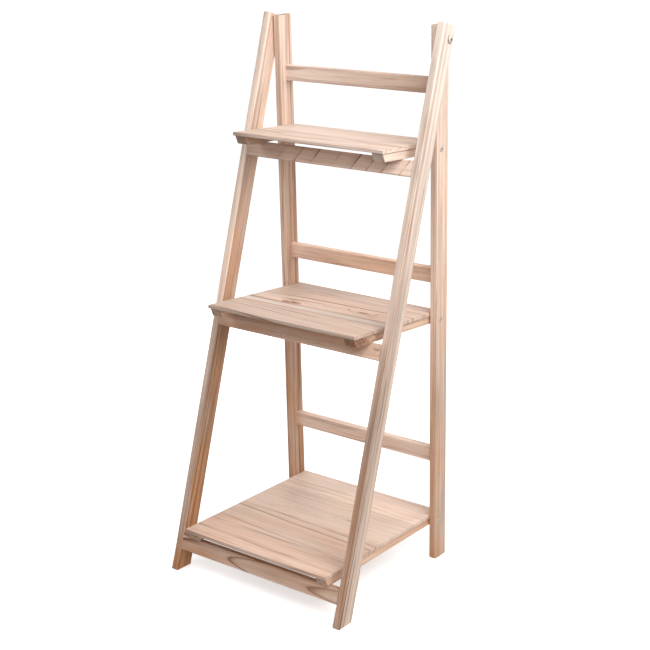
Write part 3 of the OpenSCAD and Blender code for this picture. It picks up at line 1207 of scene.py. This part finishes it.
@dataclass(frozen=True)
class Washer:
    """A flat ring with broken edges, used as a washer and as a spacer.

    Attributes:
        bore_mm: Diameter of the bore.
        edge_mm: Size of its broken edges.
    """

    bore_mm: float
    edge_mm: float = 0.2

    def add(self, bm: bmesh.types.BMesh, low: Vector, high: Vector) -> None:
        """Adds one ring that lies square to X.

        Args:
            bm: The shape that it is added to.
            low: The lowest corner of its solid in the frame.
            high: The highest corner of that solid.
        """
        inner, outer, cut = self.bore_mm / 2, (high.y - low.y) / 2 / MM, self.edge_mm
        thick, middle = (high.x - low.x) / MM, (low + high) / 2
        turning = Turning(bm, inner, 0.0, closed=False)
        turning.ring(outer - cut, 0.0).ring(outer, cut).ring(outer, thick - cut)
        turning.ring(outer - cut, thick).ring(inner, thick)
        turn = Vector((1, 0, 0)).to_track_quat("Z", "Y").to_matrix().to_4x4()
        turning.close(Matrix.Translation((low.x, middle.y, middle.z)) @ turn, bored=True)


# ---------------------------------------------------------------------------
# Sub-assemblies
# ---------------------------------------------------------------------------


HINGE_BOLT = Bolt(6.0, 12.5, 3.2, 4.0)
PIVOT_BOLT = Bolt(5.0, 10.0, 2.2, 3.0)
BATTEN_SCREW = Screw()


@dataclass
class Assembly:
    """Pieces that ride on one body and are square to its own axes.

    A kind of assembly has a body, the body's name, and a place, its own axes.

    Attributes:
        shop: Materials for its pieces.
    """

    shop: Workshop

    def stand(self, bm: bmesh.types.BMesh) -> None:
        """Shades a shape's roundings and moves it to the stand's axes."""
        smooth_roundings(bm)
        bmesh.ops.transform(bm, matrix=self.place.matrix, verts=bm.verts)

    def dress(
        self, bm: bmesh.types.BMesh, node: str, wood: WoodFinish, cut: Cut, *grain: int
    ) -> None:
        """Turns a shape into the wooden piece that stands for a frame node.

        Args:
            bm: The finished shape, in the stand's axes. It is freed.
            node: The frame node.
            wood: Its finish.
            cut: How it was cut.
            grain: The axis that its grain follows, and the one across its wide face.
        """
        material = self.shop.timber.material(node, wood, cut, self.place.lie(node, *grain))
        finish_piece(bm, node, self.body, material)

    def fasten(self, part: Bolt | Screw | Washer, node: str) -> None:
        """Rebuilds every solid of a frame node as the same small steel part.

        Args:
            part: What each solid is.
            node: The frame node.
        """
        bm = bmesh.new()
        for low, high in self.place.solids(node):
            part.add(bm, low, high)
        bmesh.ops.transform(bm, matrix=self.place.matrix, verts=bm.verts)
        finish_piece(bm, node, self.body, self.shop.steel)


@dataclass
class LeggedFrame(Assembly):
    """A frame of two legs and three crosspieces, straight in its own axes.

    Attributes:
        body: The body that it is.
        lean_deg: Turn of its axes about the hinge bolts.
        leg_word: First word of its legs' node names.
        cross_word: First words of its crosspieces' node names.
        leg_cuts: How the left and the right leg were cut.
        cross_wood: The crosspieces' finish.
        cross_cuts: How the crosspieces were cut, from the top.
        edge_mm: Rounding of the long edges.
        end_mm: Rounding of sawn ends.
    """

    body: str
    lean_deg: float
    leg_word: str
    cross_word: str
    leg_cuts: dict[Side, Cut]
    cross_wood: WoodFinish
    cross_cuts: dict[Level, Cut]
    edge_mm: float = 1.5
    end_mm: float = 0.5

    @property
    def place(self) -> Placement:
        """The frame's own axes, from the hinge bolts."""
        return Placement(joint_place("front_frame_fold"), self.lean_deg)

    def build(self) -> None:
        """Makes the legs and the crosspieces."""
        for side in Side:
            self.leg(side)
        for level in Level:
            self.crosspiece(level)

    def recess(self, bm: bmesh.types.BMesh, side: Side, face: float) -> None:
        """Leaves a leg's outer face whole.

        Args:
            bm: The leg, in the frame's own axes.
            side: The leg's side.
            face: X of its outer face.
        """

    def leg(self, side: Side) -> None:
        """Makes one leg, square at its top and sawn level at its foot.

        Args:
            side: The leg's side.
        """
        name = f"{self.leg_word}_{side.word}"
        low, high = self.place.box(name)
        bm = block(low, high)
        soften(bm, edges_along(bm, 2), self.edge_mm)
        soften(bm, edges_across(bm, 2), self.end_mm, 2)
        self.recess(bm, side, low.x if side is Side.LEFT else high.x)
        self.stand(bm)
        saw_level(bm, 0.0)
        foot = [e for e in sharp_edges(bm) if max(v.co.z for v in e.verts) < SAME]
        soften(bm, foot, self.end_mm, 2)
        self.dress(bm, name, LEG_WOOD, self.leg_cuts[side], 2, 1)

    def crosspiece(self, level: Level) -> None:
        """Makes one rail or slat.

        Args:
            level: Its level.
        """
        name = f"{self.cross_word}_{level.value}"
        bm = block(*self.place.box(name))
        soften(bm, edges_along(bm, 0), self.edge_mm)
        self.stand(bm)
        self.dress(bm, name, self.cross_wood, self.cross_cuts[level], 0, 2)


@dataclass
class RearFrame(LeggedFrame):
    """The back frame, which holds the hinge bolts and the shelf pivots.

    Attributes:
        recess_mm: Radius of the recess round a pivot bolt's head.
        recess_depth_mm: Depth of that recess.
    """

    recess_mm: float = 5.3
    recess_depth_mm: float = 1.2

    def build(self) -> None:
        """Makes the legs, the slats, the hinge bolts and their washers."""
        super().build()
        self.fasten(HINGE_BOLT, "hinge_bolts")
        self.fasten(Washer(HINGE_BOLT.shank_mm), "hinge_washers")

    def recess(self, bm: bmesh.types.BMesh, side: Side, face: float) -> None:
        """Sinks the recesses for the heads of the pivot bolts.

        Args:
            bm: The leg, in the frame's own axes.
            side: The leg's side.
            face: X of its outer face.
        """
        places = []
        for level in Level:
            pivot = self.place.matrix.inverted() @ joint_place(level.value + "_shelf_lift")
            places.append(Vector((face, pivot.y, pivot.z)))
        outward = Vector((side.value, 0, 0))
        drill(bm, outward, places, self.recess_mm, self.recess_mm, self.recess_depth_mm)


@dataclass
class Shelf(Assembly):
    """A shelf of edge-joined planks on two battens.

    Attributes:
        level: Its level.
        plank_cuts: How each plank was cut, by the last word of its node name.
        batten_cuts: How the left and the right batten were cut.
        front_mm: Rounding of the front edge.
        seam_mm: Softening of the seams between planks.
        batten_edge_mm: Softening of a batten's edges.
        undercut_mm: Undercut of a batten's front end.
        play_mm: Play between a screw's head and its countersink.
    """

    level: Level
    plank_cuts: dict[str, Cut]
    batten_cuts: dict[Side, Cut]
    front_mm: float = 1.6
    seam_mm: float = 0.45
    batten_edge_mm: float = 0.8
    undercut_mm: float = 7.0
    play_mm: float = 0.1

    @property
    def body(self) -> str:
        """The body that the shelf is."""
        return self.level.value + "_shelf"

    @property
    def place(self) -> Placement:
        """The shelf's own axes, from its pivots."""
        up = mount_axis(self.level.value + "_shelf_top")
        pivot = joint_place(self.level.value + "_shelf_lift")
        return Placement(pivot, -math.degrees(math.atan2(up.y, up.z)))

    def build(self) -> None:
        """Makes the planks, the battens, the pivots and the screws."""
        for word, cut in self.plank_cuts.items():
            self.plank(word, cut)
        for side in Side:
            self.batten(side)
        for part, word in (
            (PIVOT_BOLT, "pivot_bolts"), (Washer(PIVOT_BOLT.shank_mm), "pivot_spacers"),
            (BATTEN_SCREW, "batten_screws"),
        ):
            self.fasten(part, f"{self.level.value}_{word}")

    def plank(self, word: str, cut: Cut) -> None:
        """Makes one plank.

        Args:
            word: The last word of its node name.
            cut: How it was cut.
        """
        name = f"{self.level.value}_plank_{word}"
        low, high = self.place.box(name)
        middle = (low + high) / 2
        bm = block(low, high)
        if word == "front":
            front = [e for e in edges_along(bm, 0) if e.verts[0].co.y < middle.y]
            soften(bm, front, self.front_mm, 4)
        upper = [e for e in edges_along(bm, 0) if e.verts[0].co.z > middle.z]
        soften(bm, upper, self.seam_mm, 2)
        soften(bm, edges_across(bm, 0), self.seam_mm, 2)
        self.stand(bm)
        self.dress(bm, name, PLANK_WOOD, cut, 0, 1)

    def batten(self, side: Side) -> None:
        """Makes one batten, with its undercut front end and its countersinks.

        Args:
            side: Its side.
        """
        name = f"{self.level.value}_batten_{side.word}"
        low, high = self.place.box(name)
        bm = block(low, high)
        for vert in bm.verts:
            if vert.co.y < 0 and vert.co.z < (low.z + high.z) / 2:
                vert.co.y += mm(self.undercut_mm)
        soften(bm, sharp_edges(bm), self.batten_edge_mm)
        heads = [
            Vector(((a.x + b.x) / 2, (a.y + b.y) / 2, low.z))
            for a, b in self.place.solids(f"{self.level.value}_batten_screws")
            if low.x < a.x < high.x
        ]
        screw = BATTEN_SCREW
        drill(
            bm, Vector((0, 0, -1)), heads, screw.head_mm / 2 + self.play_mm,
            screw.shank_mm / 2 + self.play_mm, screw.sink_mm,
        )
        self.stand(bm)
        self.dress(bm, name, BATTEN_WOOD, self.batten_cuts[side], 1, 2)


# ---------------------------------------------------------------------------
# Studio
# ---------------------------------------------------------------------------


@dataclass(frozen=True)
class Lamp:
    """A soft square lamp.

    Attributes:
        name: The lamp's name.
        place: Where it hangs.
        power: Its power in watts.
        size: Its width.
        aim: What it points at.
    """

    name: str
    place: tuple[float, float, float]
    power: float
    size: float = 1.0
    aim: tuple[float, float, float] = (0.0, 0.0, 0.5)

    def build(self) -> None:
        """Hangs the lamp."""
        data = bpy.data.lights.new(self.name, "AREA")
        data.size = self.size
        data.energy = self.power
        lamp = bpy.data.objects.new(self.name, data)
        bpy.context.scene.collection.objects.link(lamp)
        lamp.location = self.place
        gaze = Vector(self.aim) - Vector(self.place)
        lamp.rotation_euler = gaze.to_track_quat("-Z", "Y").to_euler()


@dataclass(frozen=True)
class Floor:
    """A pale floor, dim under the stand and white away from it.

    Attributes:
        reach: How far it goes from the middle.
        tone: Its own brightness.
        fade: Distances from the middle between which its glow grows.
        glow: Its glow at those distances.
        shade_middle: Middle of the stand's shadow, in X and Y.
        shade_core: Reach of the full shadow, in X and Y.
        shade_end: Reach of the whole shadow, in X and Y.
        cover: How near something above has to be to shade it.
        openness: Share of open light at full shadow and at none.
        glow_loss: Share of the glow that the shadow takes.
        tone_loss: Brightness that the shadow takes.
    """

    reach: float = 30.0
    tone: float = 0.8
    fade: tuple[float, float] = (0.25, 2.4)
    glow: tuple[float, float] = (0.62, 1.0)
    shade_middle: tuple[float, float] = (-0.105, -0.04)
    shade_core: tuple[float, float] = (0.11, 0.02)
    shade_end: tuple[float, float] = (0.17, 0.07)
    cover: float = 0.2
    openness: tuple[float, float] = (0.8, 0.985)
    glow_loss: float = 0.3
    tone_loss: float = 0.2

    AO_SAMPLES = 16

    def build(self) -> None:
        """Lays the floor."""
        bm = bmesh.new()
        bmesh.ops.create_grid(bm, x_segments=1, y_segments=1, size=self.reach)
        mesh = bpy.data.meshes.new("floor")
        bm.to_mesh(mesh)
        bm.free()
        mesh.materials.append(self.material())
        floor = bpy.data.objects.new("floor", mesh)
        bpy.context.scene.collection.objects.link(floor)

    def shade(self, make: Shading, here: bpy.types.NodeSocket) -> Signal:
        """Returns how deep the stand's shadow is at a point of the floor."""
        sides = make.node("SeparateXYZ", Vector=here).outputs
        shade = make.spread(make.openness(self.cover, self.AO_SAMPLES), *self.openness, 1.0, 0.0)
        for side, middle, core, end in zip(
            sides, self.shade_middle, self.shade_core, self.shade_end
        ):
            apart = make.math("ABSOLUTE", Signal(make, side) - middle)
            shade = shade * make.spread(apart, core, end, 1.0, 0.0)
        return shade

    def material(self) -> bpy.types.Material:
        """Makes a finish that glows for the camera and is plain for other rays."""
        material = bpy.data.materials.new("floor")
        make = Shading.on(material)
        here = make.node("TexCoord").outputs["Object"]
        shade = self.shade(make, here)
        glow = make.spread(make.length(here), *self.fade, *self.glow)
        glow = glow * (1.0 - shade * self.glow_loss)
        tone = make.grey(self.tone - shade * self.tone_loss)
        lit = make.node("BsdfDiffuse", Color=tone).outputs[0]
        lift = make.node("Emission", Strength=glow).outputs[0]
        plain = make.node("BsdfDiffuse", Color=(self.tone, self.tone, self.tone)).outputs[0]
        both, split = make.node("AddShader"), make.node("MixShader", Fac=make.seen())
        for shader, socket in (
            (lit, both.inputs[0]), (lift, both.inputs[1]), (plain, split.inputs[1]),
            (both.outputs[0], split.inputs[2]),
        ):
            make.tree.links.new(shader, socket)
        make.node("OutputMaterial", Surface=split.outputs[0])
        return material


@dataclass
class Studio:
    """The camera, the lamps and the pale floor.

    Attributes:
        camera_place: Where the camera stands.
        azimuth_deg: Camera's turn to the stand's right.
        elevation_deg: Camera's height angle.
        roll_deg: Camera's tilt about its own axis.
        lens_mm: Focal length on a 36 mm wide film.
        lamps: The lamps.
        floor: The floor.
        sky: Strength of the even light from all sides.
    """

    camera_place: tuple[float, float, float] = (1.2786, -1.7584, 1.0555)
    azimuth_deg: float = 35.745
    elevation_deg: float = 15.914
    roll_deg: float = 1.133
    lens_mm: float = 74.46
    lamps: tuple[Lamp, ...] = (
        Lamp("right", (1.0, -0.2, 1.5), 18, 0.9),
        Lamp("behind", (1.2, 1.5, 2.0), 16, 1.0),
        Lamp("left", (-0.9, -1.0, 1.5), 7.5, 0.7),
        Lamp("front", (0.7, -1.1, 1.3), 10, 0.8, (0.0, 0.0, 0.7)),
        Lamp("fill", (-1.3, 1.3, 0.8), 9, 1.0),
    )
    floor: Floor = Floor()
    sky: float = 0.13

    FILM_MM = 36.0

    def build(self) -> None:
        """Sets up the whole studio."""
        bpy.context.scene.view_settings.view_transform = "Standard"
        self.camera()
        self.floor.build()
        self.world()
        for lamp in self.lamps:
            lamp.build()

    def camera(self) -> None:
        """Places the camera as the photograph was taken."""
        turn, rise = math.radians(self.azimuth_deg), math.radians(self.elevation_deg)
        back = Vector(
            (math.sin(turn) * math.cos(rise), -math.cos(turn) * math.cos(rise), math.sin(rise))
        )
        right = Vector((math.cos(turn), math.sin(turn), 0))
        up = back.cross(right)
        upright = Matrix((right, up, back)).transposed().to_4x4()
        roll = Matrix.Rotation(math.radians(self.roll_deg), 4, "Z")
        data = bpy.data.cameras.new("camera")
        data.lens = self.lens_mm
        data.sensor_width = self.FILM_MM
        camera = bpy.data.objects.new("camera", data)
        bpy.context.scene.collection.objects.link(camera)
        camera.matrix_world = Matrix.Translation(self.camera_place) @ upright @ roll
        bpy.context.scene.camera = camera

    def world(self) -> None:
        """Makes a soft sky that the camera sees as white."""
        world = bpy.data.worlds.new("studio")
        bpy.context.scene.world = world
        make = Shading.on(world)
        strength = make.seen() * (1.0 - self.sky) + self.sky
        sky = make.node("Background", Color=(1.0, 1.0, 1.0), Strength=strength)
        make.node("OutputWorld", Surface=sky.outputs[0])


# ---------------------------------------------------------------------------
# The stand
# ---------------------------------------------------------------------------


LEG = Cut(
    0.0, 25, -60, dive_deg=0.3, slash_deg=0.2, ring_mm=6, ring_share=0.7, tone=(0.88, 1.0),
    warmth=(0.95, 0.05), bleach=(0.0, 0.4),
)
RAIL = Cut(0.0, 18, -50, ring_mm=7, ring_share=0.65)
SLAT = Cut(0.0, 14, -60, ring_mm=7, ring_share=0.6, bleach=(0.2, 0.1))
PLANK = Cut(0.0, 10, -45, ring_mm=7, dive_deg=1.4, ring_share=0.6)
BATTEN = Cut(0.0, 15, 40, ring_mm=6, warmth=(0.3, 0.4))


def dress_hidden_nodes(shop: Workshop) -> None:
    """Gives the dowels and the inserts inside the wood their materials.

    Args:
        shop: The materials.
    """
    for name, node in frame["nodes"].items():
        if name.endswith("dowels"):
            lie = Placement(Vector(), 0.0).lie(name, 0, 1)
            chosen = shop.timber.material(name, BEECH, Cut(4.0, ring_mm=3), lie)
        elif name.endswith("inserts"):
            chosen = shop.brass
        else:
            continue
        node.data.materials.clear()
        node.data.materials.append(chosen)


def build_stand() -> None:
    """Builds the whole stand, one sub-assembly after another."""
    shop = Workshop(Timber(), metal_material(STEEL), metal_material(BRASS))
    front = LeggedFrame(
        shop, "front_frame", -14.7, "front_leg", "front_rail",
        {
            Side.LEFT: replace(
                LEG, seed=1.3, tone=(0.90, 0.98), warmth=(0.9, 0.5), sapwood_mm=(-500, -13.5),
                line_mm=-14, line_share=0.45,
                # Painted shade over the lower leg, deepest just below the middle shelf.
                stains=(Stain(-210, 310, 0.2), Stain(-62, 80, 0.35)),
            ),
            Side.RIGHT: replace(
                LEG, seed=2.7, pith_across_mm=-25, tone=(0.84, 0.86), warmth=(0.7, 0.0),
                bleach=(0.0, 0.7), sapwood_mm=(-13, 500), line_mm=-13, line_share=0.5,
                line_reach_mm=5, ring_share=0.6, ring_fade=0.4,
                # Painted shade over the lower half of the leg.
                stains=(Stain(-200, 200, 0.18),),
            ),
        },
        RAIL_WOOD,
        {
            Level.TOP: replace(
                RAIL, seed=3.1, pith_across_mm=210, slash_deg=56, ring_mm=27, ring_share=2.6,
                ring_fade=0.35, tone=(0.83, 1.06), warmth=(0.15, 0.1), bleach=(0.0, 0.4),
            ),
            Level.MIDDLE: replace(
                RAIL, seed=4.9, tone=(0.92, 1.06), warmth=(0.85, 0.35), ring_share=0.5,
                knots=(Knot(-4, -4, 13, 0.2), Knot(158, 3, 10, 0.8)),
            ),
            Level.BOTTOM: replace(
                RAIL, seed=5.2, pith_across_mm=-2, pith_depth_mm=-20.9, dive_deg=-2.6,
                ring_mm=4.3, ring_share=0.95, ring_fade=0.6, tone=(0.95, 0.91),
                warmth=(0.7, 0.5),
            ),
        },
    )
    rear = RearFrame(
        shop, "rear_frame", 4.0, "rear_leg", "back_slat",
        {
            Side.LEFT: replace(
                LEG, seed=6.3, warmth=(0.9, 0.4), tone=(0.98, 0.95), line_mm=5, line_share=0.6
            ),
            Side.RIGHT: replace(
                LEG, seed=7.7, pith_across_mm=-20, warmth=(0.6, 0.1), tone=(0.98, 0.88),
                bleach=(0.1, 0.4), ring_share=0.45, ring_fade=0.6,
                # Painted shade over the lower half of the leg.
                stains=(Stain(-230, 240, 0.14),),
            ),
        },
        SLAT_WOOD,
        {
            Level.TOP: replace(
                SLAT, seed=8.1, warmth=(0.0, 0.1), bleach=(0.6, 0.0), tone=(0.98, 0.72)
            ),
            Level.MIDDLE: replace(SLAT, seed=9.4, pith_across_mm=-10, tone=(1.18, 1.0)),
            Level.BOTTOM: replace(
                SLAT, seed=10.6, pith_depth_mm=-30, tone=(1.12, 1.12), bleach=(0.4, 0.4)
            ),
        },
    )
    shelves = [
        Shelf(
            shop, Level.TOP,
            {
                "front": replace(PLANK, seed=11.2, bleach=(0.3, 0.4), ring_share=0.4),
                "back": replace(
                    PLANK, seed=12.9, pith_across_mm=-30, bleach=(0.5, 0.3), tone=(1.03, 1.05)
                ),
            },
            {
                Side.LEFT: replace(BATTEN, seed=13.1, tone=(0.68, 0.68)),
                Side.RIGHT: replace(BATTEN, seed=14.2, bleach=(0.6, 0.5)),
            },
        ),
        Shelf(
            shop, Level.MIDDLE,
            {
                "front": replace(
                    PLANK, seed=15.7, pith_across_mm=-80, slash_deg=-4, ring_mm=15,
                    ring_share=0.9, tone=(0.82, 0.79), bleach=(0.1, 0.25), warmth=(0.15, 0.35),
                    sapwood_mm=(36, 51), sapwood_share=0.9, line_mm=31, line_share=0.4,
                ),
                "centre": replace(
                    PLANK, seed=16.1, pith_across_mm=-24, pith_depth_mm=-14, dive_deg=-4.7,
                    ring_mm=5, ring_share=0.8, tone=(1.06, 0.89), bleach=(0.3, 0.3),
                    line_mm=-47, line_share=0.6, line_reach_mm=6,
                    knots=(Knot(-60, -36, 15, 1.0), Knot(70, -17, 15, 1.0)),
                ),
                "back": replace(
                    PLANK, seed=17.3, pith_across_mm=-60, pith_depth_mm=-80, ring_mm=14,
                    tone=(0.77, 0.93), bleach=(0.35, 0.4), line_mm=45, line_share=0.4,
                ),
            },
            {
                Side.LEFT: replace(BATTEN, seed=18.8),
                # Its tone darkens its front end: painted shadow of the front leg.
                Side.RIGHT: replace(
                    BATTEN, seed=19.5, tone=(0.75, 1.05), knots=(Knot(-110, 0, 34, 0.9),)
                ),
            },
        ),
        Shelf(
            shop, Level.BOTTOM,
            {
                "front": replace(
                    PLANK, seed=20.4, pith_across_mm=90, slash_deg=-3, ring_mm=17,
                    ring_share=0.7, tone=(0.96, 0.99),
                ),
                "second": replace(
                    PLANK, seed=21.6, pith_across_mm=80, slash_deg=-5, ring_mm=19,
                    ring_share=0.8, tone=(0.98, 0.9),
                ),
                "third": replace(
                    PLANK, seed=22.3, bleach=(0.3, 0.3), slash_deg=1, ring_mm=14,
                    ring_share=0.35, tone=(1.05, 0.97), knots=(Knot(54, -5, 17, 0.3),),
                ),
                "back": replace(
                    PLANK, seed=23.9, pith_across_mm=-90, slash_deg=-1, bleach=(0.35, 0.4),
                    ring_mm=13, ring_share=0.5, tone=(1.12, 1.08),
                ),
            },
            {
                Side.LEFT: replace(BATTEN, seed=24.1),
                Side.RIGHT: replace(BATTEN, seed=25.8, tone=(1.1, 1.1)),
            },
        ),
    ]
    for assembly in (front, rear, *shelves):
        assembly.build()
    dress_hidden_nodes(shop)


def main() -> None:
    """Builds the stand and its studio."""
    logging.basicConfig(level=logging.INFO, format="%(name)s: %(message)s")
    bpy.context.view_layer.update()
    build_stand()
    Studio().build()


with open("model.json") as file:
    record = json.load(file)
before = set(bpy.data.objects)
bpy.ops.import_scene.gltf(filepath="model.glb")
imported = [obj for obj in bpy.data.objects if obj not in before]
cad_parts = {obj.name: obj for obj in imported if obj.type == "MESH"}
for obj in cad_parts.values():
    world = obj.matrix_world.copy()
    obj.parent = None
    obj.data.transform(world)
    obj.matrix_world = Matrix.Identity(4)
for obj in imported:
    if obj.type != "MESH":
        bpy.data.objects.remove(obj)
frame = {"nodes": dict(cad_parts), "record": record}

if __name__ == "__main__":
    main()
